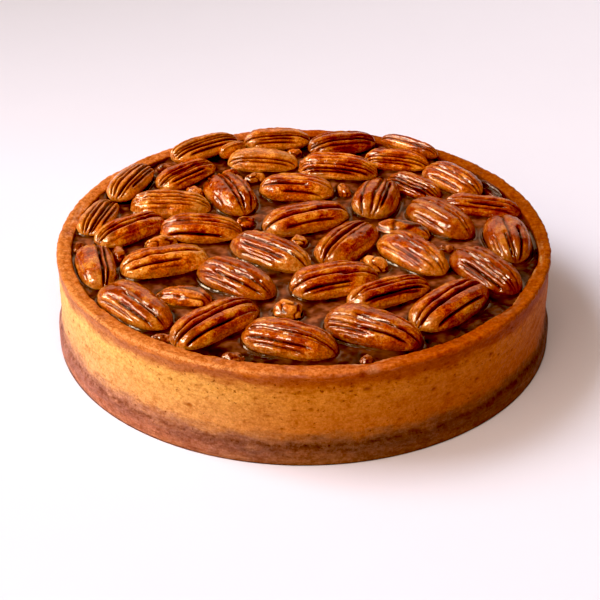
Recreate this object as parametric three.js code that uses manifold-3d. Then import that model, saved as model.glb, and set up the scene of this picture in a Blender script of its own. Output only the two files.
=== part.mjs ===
// Pecan pie without a dish: a straight-sided shortcrust shell, a dark set syrup that stops a
// little below the rim, and pecan halves and broken pieces of pecan pressed into the syrup.
// Millimetres, +Z up, origin at the middle of the underside. The front faces -Y.
import * as THREE from "three";
import { mergeVertices } from "three/addons/utils/BufferGeometryUtils.js";
import Module from "manifold-3d";

const wasm = await Module();
wasm.setup();

// ---- Driving dimensions ----
const RIM_RADIUS = 100; // outside of the rim
const CRUST_HEIGHT = 40;
const WALL = 5.6; // width of the rim
const BASE = 6; // thickness of the pastry base
const FOOT_HEIGHT = 8; // the foot that swells out where the pastry meets the baking sheet
const FOOT_SWELL = 1.2;
const SYRUP_DROP = 2.8; // from the top of the rim down to the syrup
const FIT = 0.3; // gap between neighbouring solids
const TURNS = 72; // facets round the shell

const SYRUP_LEVEL = CRUST_HEIGHT - SYRUP_DROP;
const DEG = Math.PI / 180;

// ---- Pecan halves ----
// at is the middle and turn the heading of the pointed end, counted from +X towards +Y. roll tips
// a half about its own length and pitch lifts its pointed end. lift raises it off the syrup.
const HALVES = [
  { at: [-5, -77], turn: -22, length: 37, width: 20 },
  { at: [26, -69], turn: -28, length: 39, width: 21 },
  { at: [-33, -65], turn: 43, length: 40, width: 19 },
  { at: [-64, -53], turn: -47, length: 37, width: 19 },
  { at: [56, -52], turn: 48, length: 40, width: 20 },
  { at: [33, -43], turn: 26, length: 35, width: 15, rise: 7.5 },
  { at: [12, -34], turn: 18, length: 36, width: 20 },
  { at: [-26, -33], turn: -39, length: 36, width: 19 },
  { at: [-13, -12], turn: -37, length: 37, width: 19 },
  { at: [-55, -20], turn: 17, length: 36, width: 19 },
  { at: [-82, -23], turn: -77, length: 32, width: 16 },
  { at: [-71, 7], turn: 40, length: 33, width: 16 },
  { at: [-85, 18], turn: 74, length: 29, width: 14 },
  { at: [-42, 7], turn: -5, length: 34, width: 18 },
  { at: [-56, 28], turn: -3, length: 34, width: 18 },
  { at: [-31, 37], turn: -66, length: 32, width: 20 },
  { at: [-51, 56], turn: 43, length: 31, width: 15 },
  { at: [-74, 46], turn: 67, length: 31, width: 15, lift: 2 },
  { at: [-44, 77], turn: 35, length: 34, width: 14, rise: 6.5, lift: 3.2 },
  { at: [-31.5, 75.5], turn: 38, length: 14, width: 5, rise: 4, lift: 3.6 },
  { at: [-18, 69], turn: -5, length: 31, width: 17 },
  { at: [-12, 86], turn: 5, length: 30, width: 15, lift: 2.5 },
  { at: [17, 83], turn: 14, length: 31, width: 16, lift: 2 },
  { at: [15, 62], turn: -10, length: 35, width: 19 },
  { at: [41, 69], turn: -13, length: 29, width: 15, lift: 0.5 },
  { at: [47, 78], turn: -33, length: 29, width: 8, rise: 5, lift: 3.6 },
  { at: [64.5, 49.5], turn: -48, length: 31, width: 16.5, lift: 1.2 },
  { at: [80, 43.5], turn: -58, length: 20, width: 6, rise: 4, lift: -1 },
  { at: [-3, 43], turn: -7, length: 32, width: 18 },
  { at: [31, 34], turn: 76, length: 29, width: 20 },
  { at: [47.5, 45.5], turn: -41, length: 27, width: 14 },
  { at: [75, 27], turn: -13, length: 33, width: 15 },
  { at: [1, 16], turn: 23, length: 38, width: 19 },
  { at: [57, 16], turn: -52, length: 35, width: 19 },
  { at: [83, -1], turn: -84, length: 33, width: 19 },
  { at: [18, -4], turn: 55, length: 35, width: 19 },
  { at: [44, -13], turn: -50, length: 35, width: 19 },
  { at: [72, -26], turn: -55, length: 36, width: 19 },
];

// ---- Broken pieces of pecan, low in the syrup between the halves ----
const PIECES = [
  { at: [-46, -45], turn: -14, length: 23, width: 14, rise: 5.5 },
  { at: [-6, -55], turn: -20, length: 12, width: 11, rise: 5.5 },
  { at: [41, 8], turn: -18, length: 24, width: 10, rise: 5.5 },
  { at: [28, -20], turn: -34, length: 12, width: 9, rise: 5 },
  { at: [-2, -2], turn: 70, length: 8, width: 8, rise: 4 },
  { at: [-24, 14], turn: -10, length: 8, width: 8, rise: 4 },
  { at: [-21, 54], turn: 20, length: 10, width: 7, rise: 4 },
  { at: [-32, 57], turn: 30, length: 9, width: 8, rise: 4 },
  { at: [-58, -4], turn: 25, length: 14, width: 8, rise: 5 },
  { at: [-47, 41], turn: -25, length: 9, width: 6, rise: 4 },
  { at: [-74, -12], turn: -78, length: 12, width: 6, rise: 4 },
  { at: [17, 43], turn: -60, length: 9, width: 6, rise: 4 },
  { at: [-4, 77], turn: -20, length: 8, width: 6, rise: 4 },
];

// Crumbs of nut sunk in the syrup, each a bump in its surface: middle and half size.
const CRUMBS = [
  { at: [-26, -87], half: [4, 2.4, 2.2] },
  { at: [23, -88], half: [2.4, 2, 2] },
  { at: [-52, -73], half: [4.2, 1.8, 1.6] },
  { at: [-74, -39], half: [2, 1.8, 1.8] },
  { at: [-91, -5], half: [2, 3, 1.8] },
  { at: [-61, 65], half: [3.4, 2.4, 2.4] },
  { at: [58, -6], half: [3, 2, 1.8] },
];

// ---- Shape of a pecan half ----
const CROWN = 0.42; // height of the dome above the widest line, as a share of the width
const BELLY = 3.2; // depth of the flatter underside below the widest line
const FLOAT = 0.3; // how far the widest line lies above the syrup
const STATIONS = 7; // lengthwise divisions
const RIDGES = 5;
const GROOVES = [0.1, 0.2, 0.2, 0.1]; // depth of each as a share of the radius

// Share of the full width and of the full height at s, from -1 at the blunt end to 1 at the point.
const outline = (s) => Math.pow(1 - Math.pow(Math.abs(s), 2.3), 0.56) * (1 - 0.07 * s);
const crest = (s) => Math.pow(1 - Math.pow(Math.abs(s), 2.5), 0.55);

// A repeatable random number between 0 and 1.
function chance(seed) {
  const value = Math.sin(seed * 127.1 + 11.7) * 43758.5453;
  return value - Math.floor(value);
}

// A closed body through rings of points, with a point at each end.
function loft(start, rings, end) {
  const around = rings[0].length;
  const last = rings.length - 1;
  const points = [start, ...rings.flat(), end];
  const at = (ring, k) => 1 + ring * around + (k % around);
  const faces = [];
  for (let k = 0; k < around; k++) {
    faces.push(0, at(0, k + 1), at(0, k));
    for (let ring = 0; ring < last; ring++) {
      faces.push(at(ring, k), at(ring, k + 1), at(ring + 1, k + 1));
      faces.push(at(ring, k), at(ring + 1, k + 1), at(ring + 1, k));
    }
    faces.push(points.length - 1, at(last, k), at(last, k + 1));
  }
  const geometry = new THREE.BufferGeometry();
  geometry.setAttribute("position", new THREE.Float32BufferAttribute(points.flat(), 3));
  geometry.setIndex(faces);
  return geometry;
}

const stationsOf = (count) =>
  Array.from({ length: count - 1 }, (_, i) => -Math.cos((Math.PI * (i + 1)) / count));

function pecanHalf({ length, width, rise = CROWN * width }) {
  const rings = stationsOf(STATIONS).map((s) => {
    const x = (s * length) / 2;
    const half = (width / 2) * outline(s);
    const ring = [];
    for (let k = 0; k <= 2 * RIDGES; k++) {
      const angle = (Math.PI * k) / (2 * RIDGES);
      const inGroove = k % 2 === 0 && k > 0 && k < 2 * RIDGES;
      const radius = inGroove ? 1 - GROOVES[k / 2 - 1] : 1;
      ring.push([x, half * Math.cos(angle) * radius, rise * crest(s) * Math.sin(angle) * radius]);
    }
    for (const angle of [220, 270, 320]) {
      ring.push([x, half * 0.86 * Math.cos(angle * DEG), BELLY * crest(s) * Math.sin(angle * DEG)]);
    }
    return ring;
  });
  return loft([-length / 2, 0, 0], rings, [length / 2, 0, 0]);
}

// A broken piece is a squat lump, snapped off square at one end, with an uneven top.
const PIECE_SIDES = 9;
const PIECE_STATIONS = 5;
const PIECE_DEPTH = 2.6; // how far it reaches down into the syrup
const PIECE_ROUGHNESS = 0.3;

function brokenPiece({ length, width, rise }, seed) {
  const rings = stationsOf(PIECE_STATIONS).map((s, i) => {
    const swell = Math.pow(1 - Math.pow(Math.abs(s), 3), 0.5);
    return Array.from({ length: PIECE_SIDES }, (_, k) => {
      const angle = (2 * Math.PI * k) / PIECE_SIDES;
      const up = Math.sin(angle) > 0;
      const rough = up ? 1 - PIECE_ROUGHNESS * chance(seed * 97 + i * PIECE_SIDES + k) : 1;
      const height = (up ? rise : PIECE_DEPTH) * Math.sin(angle);
      return [(s * length) / 2, (width / 2) * swell * rough * Math.cos(angle), swell * rough * height];
    });
  });
  return loft([-length / 2, 0, 0], rings, [length / 2, 0, 0]);
}

// ---- Pastry shell ----
// Crumbs missing from the inner edge of the rim: heading, half width in degrees, depth.
const CHIPS = [
  { heading: 284, spread: 4, depth: 1.1 },
  { heading: 326, spread: 5, depth: 0.9 },
  { heading: 350, spread: 7, depth: 1.3 },
  { heading: 96, spread: 6, depth: 0.9 },
  { heading: 168, spread: 5, depth: 0.8 },
];
const RIM_WAVER = 0.35; // how far the rim wanders in and out and up and down

function shell() {
  const wall = RIM_RADIUS - 0.5;
  const inside = RIM_RADIUS - WALL;
  const foot = RIM_RADIUS + FOOT_SWELL;
  const profile = [
    [0, 0],
    [foot - 1.2, 0],
    [foot, 2.4],
    [foot, FOOT_HEIGHT - 1.2],
    [wall, FOOT_HEIGHT + 1.8],
    [wall - 0.1, CRUST_HEIGHT / 2],
    [wall, CRUST_HEIGHT - 4.5],
    [RIM_RADIUS, CRUST_HEIGHT - 2],
    [RIM_RADIUS - 1.3, CRUST_HEIGHT - 0.3],
    [inside + 1.2, CRUST_HEIGHT],
    [inside, CRUST_HEIGHT - 1.2],
    [inside - 2, BASE],
    [0, BASE],
  ].map(([r, z]) => new THREE.Vector2(r, z));
  const geometry = new THREE.LatheGeometry(profile, TURNS).rotateX(Math.PI / 2);
  const place = geometry.getAttribute("position");
  for (let i = 0; i < place.count; i++) {
    const x = place.getX(i);
    const y = place.getY(i);
    const z = place.getZ(i);
    const radius = Math.hypot(x, y);
    if (radius < inside - 1 || z < CRUST_HEIGHT - 5) continue;
    const turn = Math.atan2(y, x);
    const waver = RIM_WAVER * (0.6 * Math.sin(3 * turn + 1) + 0.4 * Math.sin(7 * turn + 2.4));
    const inner = radius < inside + 2 ? 1 : 0;
    const chip = inner * CHIPS.reduce((sum, { heading, spread, depth }) => {
      const away = THREE.MathUtils.euclideanModulo(turn / DEG - heading + 180, 360) - 180;
      return sum + depth * Math.exp(-Math.pow(away / spread, 2));
    }, 0);
    const grow = 1 + (inner * (waver + chip)) / radius;
    place.setXYZ(i, x * grow, y * grow, Math.min(z, CRUST_HEIGHT) + Math.min(waver, 0) - 0.4 * chip);
  }
  return geometry;
}

// ---- Syrup ----
const SYRUP_RINGS = [0, 24, 46, 66, 82]; // radii of the rings that carry its lumps
const SYRUP_TURNS = 48;
const LUMPS = 0.5; // height of the lumps in its surface
const POCKET_REACH = 12; // how far a pocket is cut upwards from the floor of a nut's seat
const POCKET_GAP = FIT + 0.5; // its few stations cut the corners of the nut's outline

const lumps = (x, y) =>
  LUMPS * (Math.sin(x * 0.21 + 1.3) * Math.cos(y * 0.17) + 0.6 * Math.sin(x * 0.09 - y * 0.23));

function syrup() {
  const inside = RIM_RADIUS - WALL - FIT;
  const edge = inside - 0.45;
  const floor = BASE + FIT;
  const profile = [
    [0, floor],
    [inside - 2.1, floor],
    [edge, SYRUP_LEVEL],
    [edge - 1.4, SYRUP_LEVEL - 0.4],
    ...SYRUP_RINGS.toReversed().map((r) => [r, SYRUP_LEVEL]),
  ].map(([r, z]) => new THREE.Vector2(r, z));
  const geometry = new THREE.LatheGeometry(profile, SYRUP_TURNS).rotateX(Math.PI / 2);
  const place = geometry.getAttribute("position");
  for (let i = 0; i < place.count; i++) {
    if (place.getZ(i) < SYRUP_LEVEL || Math.hypot(place.getX(i), place.getY(i)) > edge - 0.7) continue;
    place.setZ(i, SYRUP_LEVEL + lumps(place.getX(i), place.getY(i)));
  }
  return geometry;
}

// The seat of a nut: its outline pushed out by the gap, from just under it straight up.
function pocket({ length, width }, depth, share) {
  const sections = [-1, ...stationsOf(5), 1];
  const side = (sign) =>
    sections.map((s) => {
      const half = (width / 2) * (Math.abs(s) < 1 ? share(s) : 0) + POCKET_GAP;
      return new THREE.Vector2(s * (length / 2 + POCKET_GAP), sign * half);
    });
  const shape = new THREE.Shape([...side(-1), ...side(1).toReversed()]);
  const prism = new THREE.ExtrudeGeometry(shape, { depth: POCKET_REACH, bevelEnabled: false });
  return prism.translate(0, 0, -depth - POCKET_GAP);
}

// ---- Assembly ----
const CRUST_LOOK = { color: 0xc8812f, roughness: 0.8, metalness: 0 };
const SYRUP_LOOK = { color: 0x4a1c0c, roughness: 0.25, metalness: 0 };
const NUT_LOOK = { color: 0x9c4a14, roughness: 0.35, metalness: 0 };

const group = new THREE.Group();

function add(name, geometry, look) {
  const mesh = new THREE.Mesh(geometry, new THREE.MeshStandardMaterial(look));
  mesh.name = name;
  group.add(mesh);
  return mesh;
}

function lay(mesh, { at, turn, roll = 0, pitch = 0, lift = 0 }) {
  mesh.position.set(at[0], at[1], SYRUP_LEVEL + FLOAT + lift);
  mesh.rotation.set(roll * DEG, -pitch * DEG, turn * DEG, "ZYX");
  mesh.updateMatrixWorld();
}

function toSolid(geometry, matrix) {
  const bare = (geometry.index ? geometry.toNonIndexed() : geometry.clone()).applyMatrix4(matrix);
  const plain = new THREE.BufferGeometry().setAttribute("position", bare.getAttribute("position"));
  const merged = mergeVertices(plain, 1e-4);
  const mesh = new wasm.Mesh({
    numProp: 3,
    vertProperties: merged.getAttribute("position").array,
    triVerts: new Uint32Array(merged.index.array),
  });
  return new wasm.Manifold(mesh);
}

function toGeometry(solid) {
  const { vertProperties, triVerts } = solid.getMesh();
  const geometry = new THREE.BufferGeometry();
  geometry.setAttribute("position", new THREE.BufferAttribute(vertProperties, 3));
  geometry.setIndex(new THREE.BufferAttribute(triVerts, 1));
  return geometry;
}

const two = (index) => String(index + 1).padStart(2, "0");

add("crust", shell(), CRUST_LOOK);

let filling = toSolid(syrup(), new THREE.Matrix4());

CRUMBS.forEach(({ at, half }) => {
  const crumb = new THREE.IcosahedronGeometry(1).scale(...half).translate(...at, SYRUP_LEVEL);
  filling = filling.add(toSolid(crumb, new THREE.Matrix4()));
});

HALVES.forEach((half, index) => {
  const mesh = add(`pecan_${two(index)}`, pecanHalf(half), NUT_LOOK);
  lay(mesh, half);
  filling = filling.subtract(toSolid(pocket(half, BELLY, outline), mesh.matrixWorld));
});

const lumpy = (s) => Math.pow(1 - Math.pow(Math.abs(s), 3), 0.5);
PIECES.forEach((piece, index) => {
  const mesh = add(`pecan_piece_${two(index)}`, brokenPiece(piece, index + 1), NUT_LOOK);
  lay(mesh, piece);
  filling = filling.subtract(toSolid(pocket(piece, PIECE_DEPTH, lumpy), mesh.matrixWorld));
});

// The seats cut a few crumbs of syrup loose; only the body they sit in is kept.
const bodies = filling.decompose().toSorted((a, b) => b.volume() - a.volume());
add("filling", toGeometry(bodies[0]), SYRUP_LOOK);

export default group;
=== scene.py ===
"""A pecan pie without a dish: a straight-sided pastry shell, dark syrup and glossy pecans."""

import math

import bmesh
import bpy
import numpy as np
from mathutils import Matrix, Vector


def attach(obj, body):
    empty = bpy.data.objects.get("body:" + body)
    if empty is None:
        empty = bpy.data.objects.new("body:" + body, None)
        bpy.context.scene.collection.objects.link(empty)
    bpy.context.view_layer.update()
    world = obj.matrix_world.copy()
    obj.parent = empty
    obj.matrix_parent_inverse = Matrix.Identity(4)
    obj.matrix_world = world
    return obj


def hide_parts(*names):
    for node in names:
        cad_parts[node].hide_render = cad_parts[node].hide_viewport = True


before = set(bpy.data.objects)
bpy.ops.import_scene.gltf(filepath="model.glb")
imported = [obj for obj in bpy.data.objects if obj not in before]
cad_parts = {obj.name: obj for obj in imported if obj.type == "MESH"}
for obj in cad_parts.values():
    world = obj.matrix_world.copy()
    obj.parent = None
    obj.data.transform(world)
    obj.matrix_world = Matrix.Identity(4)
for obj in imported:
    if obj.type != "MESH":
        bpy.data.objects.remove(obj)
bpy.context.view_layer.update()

# ---- Sizes in millimetres, as in the solids ----
MM = 0.001
RIM_RADIUS = 100
CRUST_HEIGHT = 40
WALL = 5.6
BASE = 6
FOOT_HEIGHT = 8
FOOT_SWELL = 1.2
SYRUP_LEVEL = 37.2
BELLY = 3.2  # depth of a half's underside below its widest line
PIECE_DEPTH = 2.6  # the same for a broken piece
RIM_WAVER = 0.35  # how far the rim wanders in and out and up and down
# Places where the rim is chipped: heading and spread in degrees, and depth.
CHIPS = [(284, 4, 1.1), (326, 5, 0.9), (350, 7, 1.3), (96, 6, 0.9), (168, 5, 0.8)]
NOISE_APART = 31.7  # each nut takes its noise this far in mm from the one before it


# ---- Shared shape tools ----
def noise(points, scale, seed):
    """Smooth noise from about -1 to 1 at each point, with lumps about scale mm across."""
    spot = np.asarray(points, float) / scale + seed * 17.31
    cell = np.floor(spot).astype(np.int64)
    part = spot - cell
    part = part * part * (3 - 2 * part)
    total = np.zeros(len(spot))
    for corner in np.ndindex(2, 2, 2):
        near = np.where(np.array(corner), part, 1 - part).prod(axis=1)
        key = (cell + np.array(corner)) @ np.array([374761393, 668265263, 987643213])
        key = (key ^ (key >> 13)) * 1274126177
        key = (key ^ (key >> 16)) & 0xFFFF
        total += near * (key / 32767.5 - 1)
    return total


def smooth(low, high, value):
    """0 below low, 1 above high and a smooth step between. low may be the larger."""
    part = np.clip((value - low) / (high - low), 0, 1)
    return part * part * (3 - 2 * part)


def bell(away, wide):
    """1 at 0, falling smoothly to about a third at wide and to almost nothing at twice that."""
    return np.exp(-((away / wide) ** 2))


def turned(degrees, middle):
    """How far each heading lies from the middle one, from -180 to 180 degrees."""
    return (degrees - middle + 180) % 360 - 180


def loft(rings, start, end):
    """Points and faces of a closed body through rings of points, with a pole at each end."""
    count, around, _ = rings.shape
    points = np.vstack([[start], rings.reshape(-1, 3), [end]])
    at = 1 + np.arange(count * around).reshape(count, around)
    ahead = np.roll(at, -1, axis=1)
    quads = np.stack([at[:-1], ahead[:-1], ahead[1:], at[1:]], axis=-1).reshape(-1, 4)
    last = len(points) - 1
    fans = [(0, b, a) for a, b in zip(at[0], ahead[0])]
    fans += [(last, a, b) for a, b in zip(at[-1], ahead[-1])]
    return points, quads.tolist() + [tuple(map(int, f)) for f in fans]


def make(name, points, faces, material, look, nodes, local=None):
    """A mesh piece from points in mm that stands for some nodes of the frame.

    look gives each point three shares for its material, and local its place for the noise.
    """
    mesh = bpy.data.meshes.new(name)
    mesh.from_pydata((np.asarray(points) * MM).tolist(), [], faces)
    if local is not None:
        spots = (np.asarray(local) * MM).astype(np.float32)
        mesh.attributes.new("local", "FLOAT_VECTOR", "POINT").data.foreach_set("vector", spots.ravel())
    colour = np.ones((len(points), 4), np.float32)
    colour[:, :3] = look
    mesh.attributes.new("look", "FLOAT_COLOR", "POINT").data.foreach_set("color", colour.ravel())
    body = bmesh.new()
    body.from_mesh(mesh)
    bmesh.ops.recalc_face_normals(body, faces=body.faces)
    body.to_mesh(mesh)
    body.free()
    mesh.shade_smooth()
    mesh.set_sharp_from_angle(angle=math.radians(70))
    mesh.materials.append(material)
    piece = bpy.data.objects.new(name, mesh)
    bpy.context.scene.collection.objects.link(piece)
    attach(piece, "root")
    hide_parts(*nodes)


# ---- Materials ----
# These ways carry uneven browning and painted shade, deepest on the right; the other end of each ramp
# paints paler light on the left.
WALL_BROWNING_AND_SHADE_WAY = (0.94, -0.34, 0.0)  # the side of the shell's wall that has browned most
RIM_BROWNING_AND_SHADE_WAY = (0.97, 0.24, 0.0)  # the same for its rim
# The painted highlight on the rim's outer edge is brightest this way.
HIGHLIGHT_WAY = (-0.62, -0.79, 0.0)  # where the rim's outer edge is palest
BANDS_TOP = 42.0  # height in mm that the top of the wall's colour bands stands for


def srgb(red, green, blue):
    """A colour given as 0 to 255 on screen, as the shader wants it."""
    parts = [c / 255 for c in (red, green, blue)]
    return tuple(c / 12.92 if c < 0.04045 else ((c + 0.055) / 1.055) ** 2.4 for c in parts) + (1,)


def add(tree, kind, inputs=None, **settings):
    """A shader node with its settings and its inputs, each a number or another node's output."""
    node = tree.nodes.new(kind)
    for key, value in settings.items():
        setattr(node, key, value)
    for key, value in (inputs or {}).items():
        if isinstance(value, bpy.types.NodeSocket):
            tree.links.new(value, node.inputs[key])
        else:
            node.inputs[key].default_value = value
    return node


def ramp(tree, factor, stops):
    """A colour ramp through stops of (place, colour)."""
    node = add(tree, "ShaderNodeValToRGB", {"Fac": factor})
    band = node.color_ramp
    band.elements[0].position, band.elements[0].color = stops[0]
    band.elements[1].position, band.elements[1].color = stops[-1]
    for place, colour in stops[1:-1]:
        band.elements.new(place).color = colour
    return node.outputs["Color"]


def blotch(tree, factor, first, last):
    """A ramp of shades from the first stop to the last, with no change halfway."""
    return ramp(tree, factor, [first, (0.5, (1, 1, 1, 1)), last])


def grain(tree, where, scale, detail, stretch=None, roughness=0.55):
    """Noise with lumps about scale mm across, squeezed or drawn out by stretch."""
    if stretch:
        where = add(tree, "ShaderNodeMapping", {"Vector": where, "Scale": stretch}).outputs["Vector"]
    inputs = {"Vector": where, "Scale": 1 / (scale * MM), "Detail": detail, "Roughness": roughness}
    return add(tree, "ShaderNodeTexNoise", inputs).outputs["Fac"]


def calc(tree, operation, a, b, clamp=False):
    """Arithmetic on two values, each a number or another node's output."""
    node = tree.nodes.new("ShaderNodeMath")
    node.operation = operation
    node.use_clamp = clamp
    for socket, value in zip(node.inputs, (a, b)):
        if isinstance(value, bpy.types.NodeSocket):
            tree.links.new(value, socket)
        else:
            socket.default_value = value
    return node.outputs[0]


def times(tree, product, *others):
    """The product of values, each a number or another node's output."""
    for value in others:
        product = calc(tree, "MULTIPLY", product, value)
    return product


def mix(tree, factor, a, b, blend="MIX"):
    """Colour a where the factor is 0 and b, or its blend with a, where it is 1."""
    inputs = {0: factor, 6: a, 7: b}
    node = add(tree, "ShaderNodeMix", inputs, data_type="RGBA", blend_type=blend)
    return node.outputs[2]


def tint(tree, colour, shade, factor=1.0):
    """The colour multiplied by a shade, as far as the factor says."""
    return mix(tree, factor, colour, shade, "MULTIPLY")


def spread(tree, value, low, high, to_low=0.0, to_high=1.0):
    """The value moved from the range low to high into another range, and held to its ends."""
    inputs = {"Value": value, "From Min": low, "From Max": high, "To Min": to_low, "To Max": to_high}
    return add(tree, "ShaderNodeMapRange", inputs).outputs["Result"]


def along_way(tree, where, way):
    """How far each place lies along a direction from the middle of the pie, in m."""
    node = add(tree, "ShaderNodeVectorMath", {0: where, 1: way}, operation="DOT_PRODUCT")
    return node.outputs["Value"]


def bump(tree, height, depth, before=None):
    """Bump of height from 0 to 1 that stands depth mm deep, on top of an earlier bump."""
    inputs = {"Height": height, "Distance": depth * MM, "Strength": 1.0}
    if before is not None:
        inputs["Normal"] = before
    return add(tree, "ShaderNodeBump", inputs).outputs["Normal"]


def material(name, **values):
    """A new material with its Principled node, whose sockets are set by name."""
    made = bpy.data.materials.new(name)
    made.use_nodes = True
    tree = made.node_tree
    shader = tree.nodes["Principled BSDF"]
    for key, value in values.items():
        shader.inputs[key.replace("_", " ")].default_value = value
    where = add(tree, "ShaderNodeTexCoord").outputs["Object"]
    return made, tree, shader, where


def parts_of(tree):
    """The three shares that the mesh carries in its look attribute."""
    colour = add(tree, "ShaderNodeAttribute", attribute_name="look").outputs["Color"]
    split = add(tree, "ShaderNodeSeparateColor", {"Color": colour})
    return split.outputs["Red"], split.outputs["Green"], split.outputs["Blue"]


def nut_material():
    """Glazed pecan: amber to brown skin, darker in its grooves where syrup pools and with painted shade
    there, lighter on its crests as painted light, under a glossy coat.
    """
    made, tree, shader, _ = material(
        "glazed_pecan",
        Roughness=0.3,
        Specular_IOR_Level=0.16,
        Specular_Tint=(1.0, 0.6, 0.34, 1),
        Coat_Weight=1.0,
        Coat_Roughness=0.075,
        Coat_IOR=1.7,
        Coat_Tint=(1.0, 0.92, 0.78, 1),
    )
    groove, pale, tone = parts_of(tree)
    where = add(tree, "ShaderNodeAttribute", attribute_name="local").outputs["Vector"]
    broad = grain(tree, where, 6, 1)
    fine = grain(tree, where, 1.4, 5, roughness=0.65)
    fibre = grain(tree, where, 0.8, 4, stretch=(0.4, 1, 1), roughness=0.7)
    both = calc(tree, "ADD", times(tree, broad, 0.4), times(tree, fine, 0.35))
    both = calc(tree, "ADD", both, times(tree, fibre, 0.25))
    speck = grain(tree, where, 0.55, 2)
    both = calc(tree, "ADD", both, spread(tree, speck, 0.2, 0.8, -0.07, 0.07))
    skin = ramp(
        tree,
        both,
        [(0.41, srgb(120, 34, 5)), (0.5, srgb(198, 74, 12)), (0.59, srgb(252, 162, 62))],
    )
    amber = mix(tree, spread(tree, fine, 0.35, 0.65), srgb(228, 126, 40), srgb(252, 188, 98))
    skin = mix(tree, times(tree, pale, 0.85), skin, amber)
    # A nut's darkness; for pecan_28 it is painted shade.
    skin = mix(tree, tone, skin, srgb(116, 32, 6))
    mottle = grain(tree, where, 0.9, 3, roughness=0.7)
    mottled = blotch(tree, mottle, (0.36, (0.7, 0.56, 0.44, 1)), (0.64, (1.16, 1.22, 1.3, 1)))
    skin = tint(tree, skin, mottled)
    # Painted shade: the groove share darkens the grooves, and where it is 0, on the crests, the skin is
    # lifted as painted light.
    shade = ramp(
        tree,
        calc(tree, "ADD", groove, spread(tree, fine, 0.3, 0.7, -0.12, 0.12)),
        [
            (0.0, (1.2, 1.32, 1.5, 1)),
            (0.14, (1, 1, 1, 1)),
            (0.32, (0.55, 0.38, 0.27, 1)),
            (0.56, (0.23, 0.13, 0.09, 1)),
            (0.85, (0.11, 0.07, 0.05, 1)),
        ],
    )
    tree.links.new(tint(tree, skin, shade), shader.inputs["Base Color"])
    relief = bump(tree, speck, 0.12)
    relief = bump(tree, fine, 0.32, relief)
    relief = bump(tree, fibre, 0.2, relief)
    tree.links.new(relief, shader.inputs["Normal"])
    coat = bump(tree, grain(tree, where, 1.5, 2, stretch=(0.8, 1, 1)), 0.1)
    coat = bump(tree, mottle, 0.1, coat)
    tree.links.new(coat, shader.inputs["Coat Normal"])
    return made


def syrup_material():
    """Dark syrup with painted shade beside the nuts and the pastry, and wettest against the nuts."""
    made, tree, shader, where = material(
        "dark_syrup",
        Roughness=0.4,
        Specular_IOR_Level=0.12,
        Specular_Tint=(1.0, 0.7, 0.5, 1),
        Coat_Weight=1.0,
        Coat_Roughness=0.06,
        Coat_IOR=1.52,
    )
    broad = grain(tree, where, 6, 2)
    colour = ramp(
        tree, broad, [(0.34, srgb(64, 30, 17)), (0.5, srgb(110, 54, 31)), (0.66, srgb(164, 94, 56))]
    )
    beside, wet, _ = parts_of(tree)
    # The beside share is painted shade: beside the nuts, along the pastry and most along the front right of
    # the rim.
    colour = tint(tree, colour, (0.32, 0.29, 0.24, 1), beside)
    tree.links.new(colour, shader.inputs["Base Color"])
    tree.links.new(spread(tree, wet, 0.0, 1.0, 0.16, 1.0), shader.inputs["Coat Weight"])
    relief = bump(tree, grain(tree, where, 3.4, 1), 0.14)
    tree.links.new(relief, shader.inputs["Normal"])
    tree.links.new(relief, shader.inputs["Coat Normal"])
    return made


def crumb_material():
    """Wet crumbs of nut, with painted shade along the sunken lines on them."""
    made, tree, shader, where = material(
        "wet_crumb",
        Roughness=0.35,
        Specular_IOR_Level=0.2,
        Specular_Tint=(1.0, 0.6, 0.34, 1),
        Coat_Weight=1.0,
        Coat_Roughness=0.05,
        Coat_IOR=1.5,
    )
    groove, _, _ = parts_of(tree)
    fine = grain(tree, where, 1.6, 4)
    colour = ramp(
        tree, fine, [(0.36, srgb(84, 26, 10)), (0.5, srgb(146, 62, 26)), (0.66, srgb(206, 122, 66))]
    )
    # Painted shade along the sunken lines.
    colour = mix(tree, groove, colour, srgb(48, 12, 4))
    tree.links.new(colour, shader.inputs["Base Color"])
    relief = bump(tree, fine, 0.4)
    tree.links.new(relief, shader.inputs["Normal"])
    coat = bump(tree, grain(tree, where, 1.8, 2), 0.25)
    tree.links.new(coat, shader.inputs["Coat Normal"])
    return made


def crust_bands(tree, where, level, patch, fine, speck):
    """The wall's browned and golden bands by height, and how much of the foot's band is there."""
    drift = grain(tree, where, 12, 6, stretch=(1, 1, 3), roughness=0.66)
    height = calc(tree, "ADD", level, spread(tree, drift, 0.25, 0.75, -3.0, 3.0))
    bands = ramp(
        tree,
        calc(tree, "DIVIDE", height, BANDS_TOP),
        [
            (0.00, srgb(200, 122, 76)),
            (0.08, srgb(186, 110, 72)),
            (0.17, srgb(162, 98, 70)),
            (0.235, srgb(188, 120, 80)),
            (0.34, srgb(236, 158, 84)),
            (0.74, srgb(250, 176, 84)),
            (0.82, srgb(206, 120, 58)),
            (0.885, srgb(192, 108, 60)),
            (0.935, srgb(222, 124, 48)),
            (1.00, srgb(222, 124, 48)),
        ],
    )
    low = spread(tree, height, 14.0, 7.5)
    streak = grain(tree, where, 4.2, 6, stretch=(1, 1, 3), roughness=0.72)
    shades = [(0.36, (1.14, 1.12, 1.14, 1)), (0.5, (0.92, 0.89, 0.87, 1)), (0.66, (0.62, 0.5, 0.45, 1))]
    colour = tint(tree, bands, ramp(tree, streak, shades), low)
    for blotches in (
        (patch, (0.34, (1.1, 1.14, 1.08, 1)), (0.66, (0.8, 0.66, 0.56, 1))),
        (fine, (0.34, (1.08, 1.12, 1.18, 1)), (0.66, (0.86, 0.74, 0.62, 1))),
        (speck, (0.36, (0.93, 0.9, 0.86, 1)), (0.62, (1.12, 1.18, 1.36, 1))),
    ):
        colour = tint(tree, colour, blotch(tree, *blotches))
    return colour, low


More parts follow.
